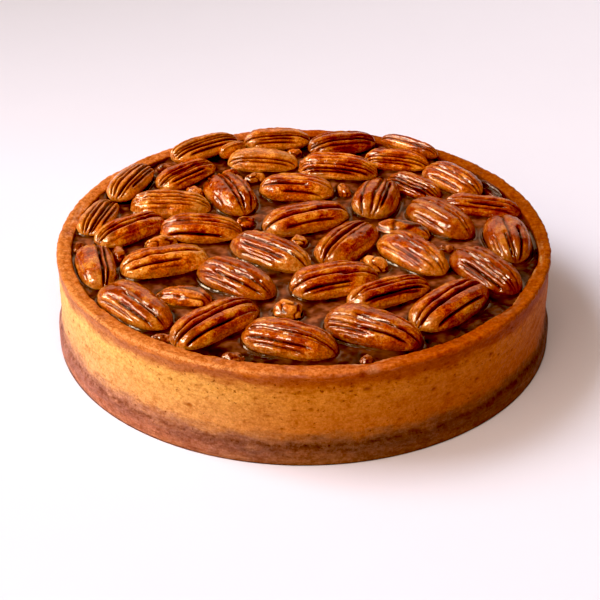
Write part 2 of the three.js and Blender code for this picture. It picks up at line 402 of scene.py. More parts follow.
def pinholes(tree, where, level):
    """Small holes in the wall, most of them high on it."""
    dots = grain(tree, where, 1.7, 2, stretch=(1, 1, 1.25))
    many = times(tree, spread(tree, level, 22.0, 28.0), spread(tree, level, 37.0, 34.0))
    holes = spread(tree, calc(tree, "ADD", dots, times(tree, many, 0.035)), 0.695, 0.73)
    return times(tree, holes, spread(tree, level, 38.0, 37.0))


def browned(tree, where, colour, low, on_top):
    """The colour browned more on one side than the other, and the rim in its own way: partly uneven baking,
    partly painted shade on the right and paler painted light on the left.
    """
    side = along_way(tree, where, WALL_BROWNING_AND_SHADE_WAY)
    wall = ramp(
        tree,
        spread(tree, side, -0.08, 0.1),
        [
            (0.1, (1.12, 1.32, 1.75, 1)),
            (0.35, (1.0, 1.1, 1.22, 1)),
            (0.63, (0.66, 0.49, 0.3, 1)),
            (0.87, (0.49, 0.29, 0.2, 1)),
            (1.0, (0.52, 0.27, 0.12, 1)),
        ],
    )
    rim = ramp(
        tree,
        spread(tree, along_way(tree, where, RIM_BROWNING_AND_SHADE_WAY), -0.1, 0.1),
        [
            (0.0, (1.03, 1.2, 1.6, 1)),
            (0.4, (0.95, 0.98, 1.35, 1)),
            (0.63, (0.64, 0.42, 0.3, 1)),
            (0.92, (0.5, 0.4, 0.3, 1)),
            (1.0, (0.46, 0.37, 0.27, 1)),
        ],
    )
    # The low band on the shaded side is made less red before the painted side shade darkens it.
    foot = times(tree, low, spread(tree, side, -0.02, 0.06))
    colour = tint(tree, colour, (0.8, 1.4, 2.2, 1), foot)
    return tint(tree, colour, mix(tree, on_top, wall, rim))


def rim_colour(tree, where, colour, level, on_top, fine, speck):
    """The top of the rim: gritty, darker on its inner part, with a painted highlight line on its outer edge
    towards the front left.
    """
    flat = add(tree, "ShaderNodeVectorMath", {0: where, 1: (1, 1, 0)}, operation="MULTIPLY")
    reach = add(tree, "ShaderNodeVectorMath", {0: flat.outputs["Vector"]}, operation="LENGTH")
    radius = reach.outputs["Value"]
    inward = spread(tree, radius, (RIM_RADIUS - 1.4) * MM, (RIM_RADIUS - 4.6) * MM)
    inward = calc(tree, "ADD", inward, spread(tree, fine, 0.38, 0.62, -0.7, 0.7), clamp=True)
    inward = times(tree, inward, on_top)
    grit = grain(tree, where, 2.0, 4, roughness=0.7)
    grit = blotch(tree, grit, (0.38, (1.12, 1.2, 1.5, 1)), (0.62, (0.87, 0.74, 0.62, 1)))
    colour = tint(tree, colour, grit, on_top)
    colour = tint(tree, colour, (0.84, 0.72, 0.62, 1), inward)
    # A painted highlight along the rim's outer edge, on the side where the light falls.
    line = times(
        tree,
        spread(tree, radius, (RIM_RADIUS - 0.95) * MM, (RIM_RADIUS - 0.6) * MM),
        spread(tree, level, 38.6, 39.1),
        spread(tree, speck, 0.42, 0.58, 0.0, 0.9),
        spread(tree, along_way(tree, where, HIGHLIGHT_WAY), 0.08, 0.095),
    )
    return mix(tree, line, colour, srgb(244, 168, 96))


def crust_material():
    """Browned pastry, in bands by height, with painted shade in its pits, pinholes and the crease over the
    foot, painted light and shade by side, and a rim with a painted highlight line.
    """
    made, tree, shader, where = material(
        "browned_pastry",
        Roughness=0.5,
        Specular_IOR_Level=0.09,
        Specular_Tint=(1.0, 0.62, 0.36, 1),
    )
    pit, crumb, inner = parts_of(tree)
    spot = add(tree, "ShaderNodeSeparateXYZ", {"Vector": where}).outputs
    level = calc(tree, "DIVIDE", spot["Z"], MM)
    on_top = spread(tree, level, 37.6, 39.0)
    patch = grain(tree, where, 4.5, 6, stretch=(1, 1, 1.7), roughness=0.72)
    fine = grain(tree, where, 1.3, 4, stretch=(1, 1, 1.1), roughness=0.6)
    speck = grain(tree, where, 0.7, 3, roughness=0.7)
    colour, low = crust_bands(tree, where, level, patch, fine, speck)
    colour = mix(tree, crumb, colour, srgb(255, 206, 140))
    holes = pinholes(tree, where, level)
    # Painted shade in the pits and pinholes.
    colour = tint(tree, colour, (0.5, 0.3, 0.17, 1), calc(tree, "MAXIMUM", pit, holes))
    # Painted shade in the crease over the foot.
    crease = spread(tree, level, 6.9, 8.1), spread(tree, level, 9.5, 8.3), spread(tree, patch, 0.4, 0.56)
    colour = tint(tree, colour, (0.6, 0.5, 0.44, 1), times(tree, *crease))
    colour = browned(tree, where, colour, low, on_top)
    colour = rim_colour(tree, where, colour, level, on_top, fine, speck)
    colour = mix(tree, inner, colour, srgb(104, 42, 14))
    tree.links.new(colour, shader.inputs["Base Color"])
    relief = bump(tree, speck, 0.12)
    relief = bump(tree, fine, 0.3, relief)
    relief = bump(tree, calc(tree, "SUBTRACT", 1.0, holes), 0.3, relief)
    relief = bump(tree, grain(tree, where, 2.4, 5, stretch=(1, 1, 1.5)), 0.32, relief)
    tree.links.new(relief, shader.inputs["Normal"])
    tree.links.new(spread(tree, patch, 0.3, 0.7, 0.42, 0.6), shader.inputs["Roughness"])
    return made


NUT = nut_material()
SYRUP = syrup_material()
CRUMB = crumb_material()
CRUST = crust_material()

# ---- Pecan halves ----
# Each: heading of the pointed end, then its grooves as angle:depth[:from:to], the angle running
# over the dome from its far side at 0 to its near side at 180 degrees, and the span from the
# blunt end at -1 to the point at 1. Then how wrinkled it is, how dark, and how pale its blunt
# end, its point and its near side are.
HALVES = {
    1: (
        -22, "91:0.6 101:1.4 111:0.6:-0.9:0.9 136:1.3:-0.75:0.55 154:0.9:-0.8:0.6 170:0.7:-0.7:0.3",
        1.0, 0.3, 0.3, 0.3, 0.5,
    ),
    2: (
        -28, "69:0.7 98:1.7:-0.3:0.95 110:0.8:-0.8:0.3 131:1.7:-0.05:0.8 "
        "131:0.9:-0.8:0 145:1.0:-0.8:0.05 160:0.8:-0.75:0.05",
        1.3, 0.45, 0.3, 0.1, 0.2,
    ),
    3: (43, "84:1.1 97:2.2 133:1.8:-0.95:0.25 134:0.7:0.2:0.9 167:1.2:-0.5:0.3", 0.7, 0.2, 0.5, 0.0, 0.5),
    4: (
        -47, "92:0.8 100:1.4:-0.2:0.95 127:0.6:-0.4:0.3 134:1.5:-0.1:0.8 154:0.9:-0.6:0.8 169:0.7:-0.6:0.7",
        0.8, 0.35, 0.7, 0.3, 0.3,
    ),
    5: (48, "81:1.3 97:2.4 142:1.6:-0.8:0.5 168:0.7:-0.6:0.3", 0.7, 0.3, 0.6, 0.0, 0.2),
    6: (
        26, "87:1.0 97:0.7 118:0.8:0.1:0.95 134:1.8:-0.7:0.75 147:1.0:-0.6:0.6",
        1.0, 0.25, 0.8, 0.1, 0.7,
    ),
    7: (
        18, "87:0.6 104:1.5:-1:0.3 113:1.1:0.1:0.95 126:0.5:-0.3:0.6 "
        "139:1.6:-0.8:0.25 154:1.0:-0.75:0.2 167:0.8:-0.7:0.2",
        0.9, 0.2, 0.4, 0.3, 0.5,
    ),
    8: (
        -39, "91:0.9 101:1.3:0:0.95 109:0.7:-0.8:0.3 128:1.4:-0.3:0.85 141:0.7:-0.8:0.0 157:1.1:-0.5:0.7",
        0.9, 0.4, 0.6, 0.3, 0.2,
    ),
    9: (
        -37, "81:0.6 99:1.4 126:1.2:-0.55:0.55 146:0.5:-0.3:0.3 159:1.0:-0.5:0.5",
        0.9, 0.3, 0.4, 0.9, 0.6,
    ),
    10: (
        17, "81:0.5:-0.9:0 96:1.6:-0.95:0.75 127:1.6:-0.8:0.3 147:0.5:-0.4:0.3 169:0.9:-0.8:0.3",
        1.1, -0.1, 0.5, 0.9, 0.4,
    ),
    11: (-77, "60:1.8 78:2.1 140:0.4:0.2:0.9 155:0.4", 0.6, 0.3, 0.2, 0.7, 0.4),
    12: (40, "71:1.2:-1:-0.4 86:1.4 101:1.6 140:0.4 168:0.7", 0.7, 0.15, 0.8, 0.0, 0.3),
    13: (74, "70:1.2 86:1.5 105:2.0 120:1.2 143:1.3:-0.6:0.6", 1.0, -0.45, 0.7, 0.0, 0.2),
    14: (-5, "99:1.1 113:0.6 150:1.9:-0.85:0.6 168:0.6:-0.6:0.1", 0.8, 0.12, 0.2, 0.5, 0.5),
    15: (
        -3, "99:1.2 113:0.7 130:0.8:-0.5:0.6 148:0.5:-0.6:0.1 169:1.3:-0.8:-0.3",
        1.3, -0.25, 0.1, 0.9, 0.3,
    ),
    16: (
        -66, "55:1.4 88:1.3 97:1.2 116:1.2:-0.95:-0.6 132:1.6:-0.9:-0.5 150:0.6:0.2:0.9",
        1.3, 0.3, 0.4, 0.1, 0.2,
    ),
    17: (43, "86:1.0 98:1.9 112:0.8 130:1.5:-0.7:0.4 150:0.8", 0.8, 0.05, 0.7, 0.1, 0.2),
    18: (67, "70:1.0 86:1.5 107:1.8 125:0.8 137:1.2:-0.5:0.7", 0.8, -0.35, 0.8, 0.0, 0.3),
    19: (35, "95:1.2 110:1.2 128:1.3 150:1.3:-0.6:0.6", 0.8, -0.45, 0.5, 0.2, 0.4),
    20: (38, "100:0.5 130:0.5", 0.8, -0.4, 0.2, 0.2, 0.2),
    21: (-5, "123:1.0 140:0.9 165:1.4", 1.2, -0.4, 0.5, 0.5, 0.2),
    22: (5, "104:0.8 118:1.3 135:1.0:-0.5:0.5 152:1.0 165:0.8", 1.0, -0.3, 0.2, 0.2, 0.3),
    23: (14, "104:1.0 118:1.6 140:0.9 160:0.8", 0.9, 0.5, 0.4, 0.0, 0.0),
    24: (-10, "98:0.7 110:0.9 122:1.0 139:1.4 152:1.1 165:1.0", 1.3, 0.0, 0.3, 0.2, 0.6),
    25: (-13, "101:0.8 115:1.3 135:1.0 150:0.9", 1.2, 0.05, 0.0, 0.3, 0.1),
    26: (-33, "100:1.0 125:1.0", 0.9, 0.2, 0.2, 0.2, 0.2),
    27: (-48, "82:0.8 97:1.1 118:0.6 150:1.0:-0.4:0.7", 0.8, 0.25, 0.9, 0.3, 0.3),
    # pecan_28 is dark all over as painted shade, for it lies in shadow under pecan_27 by the rim; its many
    # grooves add painted groove shade.
    28: (-58, "76:1.2 92:1.4 108:1.4 124:1.4 140:1.2", 0.8, 1.0, 0.0, 0.0, 0.0),
    29: (-7, "98:0.6 114:1.7:-0.85:0.3 147:1.3:-0.3:0.9 164:0.9:-0.6:0.3", 0.9, 0.12, 0.3, 0.6, 0.2),
    30: (76, "60:1.5 92:1.4 108:1.0 118:1.6:-0.8:0.4 150:0.4", 0.7, 0.35, 0.8, 0.0, 0.3),
    31: (-41, "86:0.9 100:1.3 120:1.2 140:1.4 160:1.0", 1.4, 0.4, 0.1, 0.1, 0.0),
    32: (-13, "95:1.0 118:1.6:-0.3:0.6 140:0.8", 0.9, 0.5, 0.0, 0.1, 0.0),
    33: (23, "88:0.5 104:2.0 146:1.2:-0.6:0.5 170:0.9:-0.8:-0.3", 0.7, 0.2, 0.5, 0.2, 0.6),
    34: (
        -52, "80:0.6 90:0.7 116:0.6:-0.9:0.5 150:0.7:-0.4:0.6 163:0.7:-0.4:0.6",
        1.2, 0.6, 0.4, 0.3, 0.2,
    ),
    35: (
        -84, "68:2.0:0:0.95 92:1.1 103:1.4:0.2:0.95 150:0.8:0.3:0.8 135:0.7:0.2:0.8",
        0.7, 0.6, 0.1, 0.8, 0.3,
    ),
    36: (55, "74:0.9 89:2.2 102:0.6 150:0.4", 0.8, 0.35, 0.5, 0.1, 0.3),
    37: (-50, "83:0.7 92:1.0 118:0.7:0.1:0.9 132:0.9:-0.3:0.6 147:0.6 165:0.5", 1.2, 0.25, 0.8, 0.7, 0.3),
    38: (
        -55, "75:0.7 92:0.8 105:0.8 118:0.8:-0.2:0.8 138:1.5:-0.3:0.9 152:0.9:-0.3:0.6 168:0.8",
        1.3, 0.7, 0.2, 0.2, 0.1,
    ),
}
STATIONS = 72
OVER = 64  # divisions over the dome
UNDER = 10  # divisions under it
NARROW = 0.52  # half width of a groove in mm, and of the shoulders beside it
WIDE = 1.3
LOAF = 2.35  # how square a half's section is, 2 being an ellipse
GATHER_BLUNT = 0.5  # how far the grooves draw together at each end, 1 being all the way
GATHER_POINT = 0.6


def seat(node, turn, depth):
    """Where a nut's solid lies, from the frame.

    Its heading as a direction, its middle and its size along and across that, its rise above
    its widest line, and the height of that line, which stands depth above its lowest point.
    """
    points = np.array([v.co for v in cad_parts[node].data.vertices]) / MM
    way = np.array([math.cos(math.radians(turn)), math.sin(math.radians(turn))])
    along = points[:, :2] @ way
    across = points[:, :2] @ np.array([-way[1], way[0]])
    middle = (along.max() + along.min()) / 2, (across.max() + across.min()) / 2
    line = points[:, 2].min() + depth
    size = np.ptp(along), np.ptp(across)
    return way, middle, size, points[:, 2].max() - line, line


def put(points, way, middle, line):
    """Turns a nut's own points to its heading and lays them in place."""
    along = points[:, 0] + middle[0]
    across = points[:, 1] + middle[1]
    x = along * way[0] - across * way[1]
    y = along * way[1] + across * way[0]
    return np.stack([x, y, points[:, 2] + line], axis=1)


def read_grooves(words, seed, hidden):
    """The grooves as written, with their likeness on the far side where that is hidden."""
    grooves = []
    for word in words.split():
        numbers = [float(part) for part in word.split(":")]
        angle, deep = numbers[:2]
        start, end = numbers[2:] if len(numbers) == 4 else (-0.97, 0.97)
        grooves.append((angle, deep, start, end))
    mirror = np.random.default_rng(seed)
    for angle, deep, start, end in list(grooves) if hidden else []:
        other = 180 - angle + mirror.uniform(-5, 5)
        if all(abs(other - taken[0]) > 14 for taken in grooves) and other > 16:
            grooves.append((other, deep * mirror.uniform(0.8, 1.1), start, end))
    return grooves


def outline(s):
    """Half width of a pecan half along its length, from its blunt end at -1 to its point at 1."""
    return (1 - np.abs(s) ** np.where(s < 0, 3.2, 2.5)) ** 0.5 * (1 - 0.06 * s)


def half_shape(length, width, rise, grooves, seed, wrinkled):
    """Rings of points of a pecan half, and how deep each lies in a groove, which sets its painted groove
    shade.
    """
    s = -np.cos(np.pi * np.arange(1, STATIONS) / STATIONS)
    top = np.linspace(0, 180, OVER + 1)
    under = 180 + 180 * np.arange(1, UNDER) / UNDER
    span, angle = np.meshgrid(s, np.concatenate([top, under]), indexing="ij")
    turn = np.radians(angle)
    over = angle <= 180
    share = outline(span)
    high = (1 - np.abs(span) ** np.where(span < 0, 3.4, 2.8)) ** 0.5
    side, up = np.cos(turn), np.sin(turn)
    y = width / 2 * share * np.sign(side) * np.abs(side) ** (2 / LOAF)
    y = y * np.where(over, 1, 1 - 0.14 * np.abs(up) ** 0.5)
    z = np.where(over, rise, BELLY) * high * np.sign(up) * np.abs(up) ** (2 / LOAF)
    body = np.stack([span * length / 2, y, z], axis=-1)
    around = (np.roll(body, -1, axis=1) - np.roll(body, 1, axis=1)) / 2
    normal = np.cross(np.gradient(body, axis=0), around)
    normal /= np.maximum(np.linalg.norm(normal, axis=-1), 1e-9)[..., None]
    normal *= np.where((normal[..., 1:] * body[..., 1:]).sum(axis=-1) < 0, -1, 1)[..., None]
    pace = np.linalg.norm(around, axis=-1) * OVER / 180  # mm for each degree round the dome
    carved = np.zeros_like(y)
    groove_shade = np.zeros_like(y)
    gather = share ** np.where(span < 0, GATHER_BLUNT, GATHER_POINT) / share
    for at, deep, start, end in grooves:
        drift = 1.8 * noise(np.stack([s * 2.1, s * 0 + at, s * 0 + seed], axis=1), 1.0, 3)
        across = math.cos(math.radians(at))
        place = math.copysign(abs(across) ** (2 / LOAF), across) * gather
        inside = np.clip(np.abs(place), 0, 1) ** (LOAF / 2)
        middle = np.degrees(np.arccos(np.sign(place) * inside)) + drift[:, None]
        away = np.abs(angle - middle) * pace
        window = smooth(start - 0.12, start + 0.1, span) * smooth(end + 0.12, end - 0.1, span)
        window = window * smooth(1.0, 0.9, np.abs(place))
        line = bell(away, NARROW)
        broad = np.exp(-away / WIDE)
        carved = np.maximum(carved, deep * window * (0.8 * line + 0.44 * broad))
        # The share of painted shade in the grooves, and of painted light on the crests where it stays 0.
        groove_shade = np.maximum(groove_shade, deep * window * (0.8 * line + 0.24 * broad))
    spot = (body + [0, 0, seed * NOISE_APART]).reshape(-1, 3)
    bulk = noise(spot, 5.0, seed).reshape(y.shape) * 0.3
    long = noise(spot * [0.4, 1, 1], 1.5, seed + 40).reshape(y.shape) * 0.17
    beads = noise(spot * [1.2, 1, 1], 1.6, seed + 80).reshape(y.shape) * 0.2 * wrinkled
    curls = noise(spot * [0.6, 1, 1], 2.2, seed + 120).reshape(y.shape) * 0.25 * max(wrinkled - 0.8, 0)
    top_only = np.where(over, smooth(0, 12, angle) * smooth(180, 168, angle), 0)
    room = np.minimum(1, share * width / 9)
    sunk = (carved - 0.4 + bulk + long + beads + curls) * top_only * room
    body = body - normal * np.clip(sunk, -0.7, 2.8)[..., None]
    box = np.array([length / 2, width / 2, rise])
    most = np.array([np.abs(body[..., 0]).max(), np.abs(body[..., 1]).max(), body[..., 2].max()])
    most[0] = max(most[0], length / 2)
    rings = body * np.where(most > 0, box / most, 1)
    rings[..., 2] = np.where(rings[..., 2] < 0, body[..., 2], rings[..., 2])
    return rings, np.clip(groove_shade / 1.8, 0, 1), span, turn


def build_half(number):
    """A pecan half in the place of its solid, with its grooves."""
    turn, words, wrinkled, dark, blunt, point, near = HALVES[number]
    node = f"pecan_{number:02d}"
    way, middle, size, rise, line = seat(node, turn, BELLY)
    grooves = read_grooves(words, number, abs(turn) < 40)
    rings, groove_shade, span, angle = half_shape(size[0], size[1], rise, grooves, number, wrinkled)
    points, faces = loft(rings, (-size[0] / 2, 0, 0), (size[0] / 2, 0, 0))
    low = smooth(0.62, 0.1, np.sin(angle)) * (np.cos(angle) < 0)
    pale = blunt * smooth(-0.55, -0.95, span) + point * smooth(0.4, 0.92, span) + near * low
    pale = np.clip(pale + max(-dark, 0), 0, 1)
    look = np.stack([groove_shade, pale, np.full_like(pale, max(dark, 0))], axis=-1).reshape(-1, 3)
    look = np.vstack([[0, blunt, dark], look, [0, point, dark]]).clip(0, 1)
    local = points + [0, 0, number * NOISE_APART]
    make(node + "_glazed", put(points, way, middle, line), faces, NUT, look, [node], local)


# ---- Broken pieces ----
# Heading, how dark and how pale each is.
PIECES = {
    1: (-14, 0.05, 0.35),
    2: (-20, 0.0, 0.7),
    3: (-18, 0.5, 0.2),
    4: (-34, 0.0, 0.8),
    5: (70, 0.3, 0.2),
    6: (-10, 0.2, 0.1),
    7: (20, 0.0, 0.5),
    8: (30, 0.2, 0.1),
    9: (25, 0.0, 0.8),
    10: (-25, 0.1, 0.8),
    11: (-78, 0.6, 0.2),
    12: (-60, 0.45, 0.4),
    13: (-20, 0.0, 0.7),
}
LUMP_STATIONS = 44
LUMP_SIDES = 44
LUMP_BREAKS = 7
LUMP_CUT = 0.4  # how far a flat break takes off what stands out over it, 1 being all of it
PIECES_NOISE = 1300  # the broken pieces take their noise past that of the halves


def lump_outline(s):
    """Half width of a broken lump along its length, from -1 to 1."""
    return (1 - np.abs(s) ** 2.6) ** 0.5


def lump(half_size, seed, depth=None):
    """A broken lump: a round form cut off by flat breaks, then roughened.

    depth is how deep its underside reaches, where that differs from its height.
    """
    s = -np.cos(np.pi * np.arange(1, LUMP_STATIONS) / LUMP_STATIONS)
    span, turn = np.meshgrid(s, 2 * np.pi * np.arange(LUMP_SIDES) / LUMP_SIDES, indexing="ij")
    swell = lump_outline(span)
    ball = np.stack([span, swell * np.cos(turn), swell * np.sin(turn)], axis=-1)
    points, faces = loft(ball, (-1, 0, 0), (1, 0, 0))
    draw = np.random.default_rng(400 + seed)
    for _ in range(LUMP_BREAKS):
        way = draw.normal(size=3) * [1, 1, 0.8]
        way /= np.linalg.norm(way)
        over = np.maximum(points @ way - draw.uniform(0.62, 0.85), 0)
        points = points - LUMP_CUT * over[:, None] * way
    mean = sum(half_size) / 3
    spot = points * half_size
    rough = 0.13 * noise(spot, 0.6 * mean, seed) + 0.04 * noise(spot, 0.24 * mean, seed + 9)
    ridge = 1 - np.abs(noise(spot * [0.5, 1, 1], 0.5 * mean, seed + 20))
    rough = rough - 0.09 * smooth(0.72, 1.0, ridge)
    points = points * (1 + rough)[:, None]
    points = points / np.abs(points).max(axis=0)
    size = np.array(half_size, float)
    scaled = points * size
    if depth is not None:
        scaled[:, 2] = np.where(points[:, 2] < 0, points[:, 2] * depth, scaled[:, 2])
    return scaled, faces, smooth(0.8, 1.0, ridge)


def build_piece(number):
    """A broken piece in the place of its solid."""
    turn, dark, pale = PIECES[number]
    node = f"pecan_piece_{number:02d}"
    way, middle, size, rise, line = seat(node, turn, PIECE_DEPTH)
    points, faces, ridge = lump((size[0] / 2, size[1] / 2, rise), number, PIECE_DEPTH)
    patch = (0.3 + 0.7 * smooth(-0.1, 0.5, noise(points, 3.5, number))) * pale
    # The first share is painted shade along the piece's sunken lines, with painted light elsewhere.
    look = np.stack([ridge * 0.7, patch, np.full(len(points), dark)], axis=1)
    local = points + [0, 0, PIECES_NOISE + number * NOISE_APART]
    make(node + "_glazed", put(points, way, middle, line), faces, NUT, look, [node], local)


# ---- Syrup ----
# The crumbs that lie on it: place, and half size along, across and up.
CRUMBS = [
    ((-26, -87), (4, 2.4, 2.2)),
    ((23, -88), (2.4, 2, 2)),
    ((-52, -73), (4.2, 1.8, 1.6)),
    ((-74, -39), (2, 1.8, 1.8)),
    ((-91, -5), (2, 3, 1.8)),
    ((-61, 65), (3.4, 2.4, 2.4)),
    ((58, -6), (3, 2, 1.8)),
]
CRUMB_SEED = 60  # the first crumb's seed, past those of the broken pieces
CRUMB_SWELL = [1.25, 1.3, 1.35]  # how far a crumb's lump reaches past its half size
GRID = 0.6  # spacing of the syrup's points, halved beside the nuts
CLIMB = 0.68  # how high the syrup draws up against a nut, and how far out
CLIMB_REACH = 0.62
WALL_CLIMB = 0.9  # how high it draws up against the pastry
POCKET = 3.9  # depth of the seat under a nut
SEAT_EDGE = -1.5  # the syrup's points end this far inside a nut, and one face closes the seat
FINE_FROM = -0.3  # the syrup's points stand closer from here to here beside a nut
FINE_TO = 0.9
ROUND_NUT = 220  # steps along each side of a nut's outline
# Painted shade on the syrup is widest along this side of the rim.
SYRUP_SHADE_WAY = (0.55, -0.84)  # the side of the rim along which the syrup lies darkest


def foot_outline(size, share):
    """Points round a nut at its widest line, in its own frame."""
    s = np.concatenate([[-1], -np.cos(np.pi * np.arange(1, ROUND_NUT) / ROUND_NUT), [1]])
    half = size[1] / 2 * share(np.clip(s, -1, 1))
    side = np.stack([s * size[0] / 2, half], axis=1)
    return np.vstack([side, side[::-1] * [1, -1]])


def nut_distance(x, y):
    """Distance in mm from each place to the edge of the nearest nut, below 0 under the nut."""
    nearest = np.full(x.shape, 99.0)
    seats = [(f"pecan_{n:02d}", HALVES[n][0], BELLY, outline) for n in HALVES]
    seats += [(f"pecan_piece_{n:02d}", PIECES[n][0], PIECE_DEPTH, lump_outline) for n in PIECES]
    for node, turn, depth, share in seats:
        way, middle, size, _, line = seat(node, turn, depth)
        if line > SYRUP_LEVEL + depth:  # a nut that stands clear of the syrup
            continue
        along = x * way[0] + y * way[1] - middle[0]
        across = y * way[0] - x * way[1] - middle[1]
        close = (np.abs(along) < size[0] / 2 + 5) & (np.abs(across) < size[1] / 2 + 5)
        rim = foot_outline(size, share)
        spot = np.stack([along[close], across[close]], axis=1)
        away = np.sqrt(((spot[:, None] - rim[None]) ** 2).sum(axis=2).min(axis=1))
        s = np.clip(2 * spot[:, 0] / size[0], -1, 1)
        under = (np.abs(spot[:, 1]) < size[1] / 2 * share(s)) & (np.abs(spot[:, 0]) < size[0] / 2)
        nearest[close] = np.minimum(nearest[close], np.where(under, -away, away))
    return nearest


def syrup_height(x, y, nearest, edge):
    """Height of the syrup: its lumps, drawn up at the nuts and the pastry."""
    lumps = 0.5 * (np.sin(x * 0.21 + 1.3) * np.cos(y * 0.17) + 0.6 * np.sin(x * 0.09 - y * 0.23))
    flat = np.stack([x, y, np.zeros_like(x)], axis=1)
    fine = 0.45 * noise(flat, 3.2, 5) + 0.24 * noise(flat, 1.7, 6)
    fine *= 1 + 0.8 * smooth(10, 1, edge - np.hypot(x, y))
    out = np.maximum(nearest, 0)
    uneven = 1 + 0.28 * noise(flat, 2.4, 9)
    climb = CLIMB * uneven * np.clip(1 - out / CLIMB_REACH, 0, 1) ** 1.25
    wall = WALL_CLIMB * np.exp(-np.maximum(edge - np.hypot(x, y), 0))
    return SYRUP_LEVEL + lumps + fine * smooth(0.4, 3.0, nearest) + np.maximum(climb, wall)


def build_filling():
    """The syrup's surface round the nuts, a seat under each nut, and a skirt down to the base."""
    edge = RIM_RADIUS - WALL + 0.1
    reach = int(edge / GRID) + 2
    axis = np.arange(-reach, reach + 1) * GRID
    x, y = (a.ravel() for a in np.meshgrid(axis, axis))
    radius = np.hypot(x, y)
    keep = radius < edge + 0.3 * GRID
    grow = np.where(radius > edge - 0.5 * GRID, edge / np.maximum(radius, 1), 1)
    x, y = x * grow, y * grow
    nearest = nut_distance(x, y)
    keep &= nearest > SEAT_EDGE
    side = len(axis)
    index = np.arange(side * side).reshape(side, side)
    cells = np.stack([index[:-1, :-1], index[:-1, 1:], index[1:, 1:], index[1:, :-1]], axis=-1)
    cells = cells.reshape(-1, 4)
    cells = cells[keep[cells].all(axis=1)]
    used = np.unique(cells)
    fresh = np.full(side * side, -1)
    fresh[used] = np.arange(len(used))
    flat = np.stack([x, y, np.zeros_like(x)], axis=1)[used]
    beside = nearest[cells]
    beside = (beside.min(axis=1) < FINE_TO) & (beside.max(axis=1) > FINE_FROM)
    body = bmesh.new()
    mesh = bpy.data.meshes.new("syrup_surface")
    mesh.from_pydata(flat.tolist(), [], fresh[cells].tolist())
    body.from_mesh(mesh)
    body.faces.ensure_lookup_table()
    split = {e for i in np.flatnonzero(beside) for e in body.faces[i].edges}
    bmesh.ops.subdivide_edges(body, edges=list(split), cuts=1, use_grid_fill=True)
    top = list(body.verts)
    x, y = (np.array([v.co[i] for v in top]) for i in (0, 1))
    nearest = nut_distance(x, y)
    height = syrup_height(x, y, nearest, edge)
    line = smooth(-0.3, -0.9, nearest)
    height = height * (1 - line) + (SYRUP_LEVEL - POCKET) * line
    for corner, up in zip(top, height):
        corner.co.z = up
    radius = np.hypot(x, y)
    # Painted shade on the syrup: beside the nuts, along the pastry and widest along the front right of the
    # rim.
    dark = np.maximum(smooth(3.0, 0.3, nearest), smooth(2.6, 0.2, edge - radius))
    shaded_side = (x * SYRUP_SHADE_WAY[0] + y * SYRUP_SHADE_WAY[1]) / np.maximum(radius, 1)
    dark = np.maximum(dark, smooth(17, 7, edge - radius) * smooth(-0.4, 0.4, shaded_side))
    wet = smooth(1.6, 0.8, nearest)
    limit = edge - 2 * GRID
    rim = [e for e in body.edges if e.is_boundary and min(v.co.xy.length for v in e.verts) > limit]
    skirt = bmesh.ops.extrude_edge_only(body, edges=rim)["geom"]
    for corner in (g for g in skirt if isinstance(g, bmesh.types.BMVert)):
        inward = Vector((corner.co.x, corner.co.y, 0)).normalized() * (edge - 1.5)
        corner.co = Vector((inward.x, inward.y, BASE + 0.3))
    bmesh.ops.holes_fill(body, edges=[e for e in body.edges if e.is_boundary], sides=0)
    body.verts.index_update()
    look = np.zeros((len(body.verts), 3))
    order = [v.index for v in top]
    look[order, 0] = dark
    look[order, 1] = wet
    body.to_mesh(mesh)
    body.free()
    points = np.array([v.co for v in mesh.vertices])
    faces = [tuple(p.vertices) for p in mesh.polygons]
    bpy.data.meshes.remove(mesh)
    make("syrup", points, faces, SYRUP, look, ["filling"])


def build_crumbs():
    """The crumbs that are bumps in the filling's solid."""
    points, faces, looks = [], [], []
    count = 0
    for number, (at, half) in enumerate(CRUMBS):
        spot, sides, ridge = lump(np.array(half) * CRUMB_SWELL, CRUMB_SEED + number)
        points.append(spot + [at[0], at[1], SYRUP_LEVEL])
        faces += [tuple(int(i) + count for i in side) for side in sides]
        # The first share is painted shade along each crumb's sunken lines.
        looks.append(np.stack([ridge * 0.6, 0 * ridge + 0.05, 0 * ridge + 0.6], axis=1))
        count += len(spot)
    make("crumbs", np.vstack(points), faces, CRUMB, np.vstack(looks), ["filling"])


# ---- Pastry shell ----
CRUST_TURNS = 880
THICKER = 0.35  # how much thicker the rim is than the solid's all round, and more by the front
FRONT_THICKER = 1.4
RIGHT_THICKER = 0.55
CREASE = 0.22  # depth of the crease over the foot, and its height
CREASE_HEIGHT = 8.2
PIT_DEPTH = 0.55
FLAW = (284.7, 38.9)  # heading and height of a pale flaw on the rim's outer edge
# Dark pits that show in the front of the wall: heading, height, radius.
SEEN_PITS = [
    (283.5, 31.0, 0.95), (299, 24.5, 0.8), (245, 19.5, 0.9), (240.5, 29, 0.5), (271.5, 24, 0.7),
    (269, 31.5, 0.6), (265.5, 34, 0.6), (260, 28, 0.6), (307.5, 31.5, 0.7), (315, 29, 0.7),
    (290, 33.5, 0.6), (220.5, 26, 0.45), (225, 31, 0.4), (262.5, 20.5, 0.6), (303, 20, 0.6),
    (240.5, 15, 0.4), (253, 13, 0.5), (265.5, 15, 0.6), (291, 15, 0.6), (248, 30, 0.5),
    (280.5, 33, 0.5), (297, 30.5, 0.6), (212.5, 21, 0.6), (217, 22, 0.4), (323, 24, 0.6),
    (283, 6, 0.5), (268.5, 7, 0.5), (282.4, 38.4, 0.9), (278, 31, 0.5), (286, 27, 0.5), (311, 21, 0.7),
]


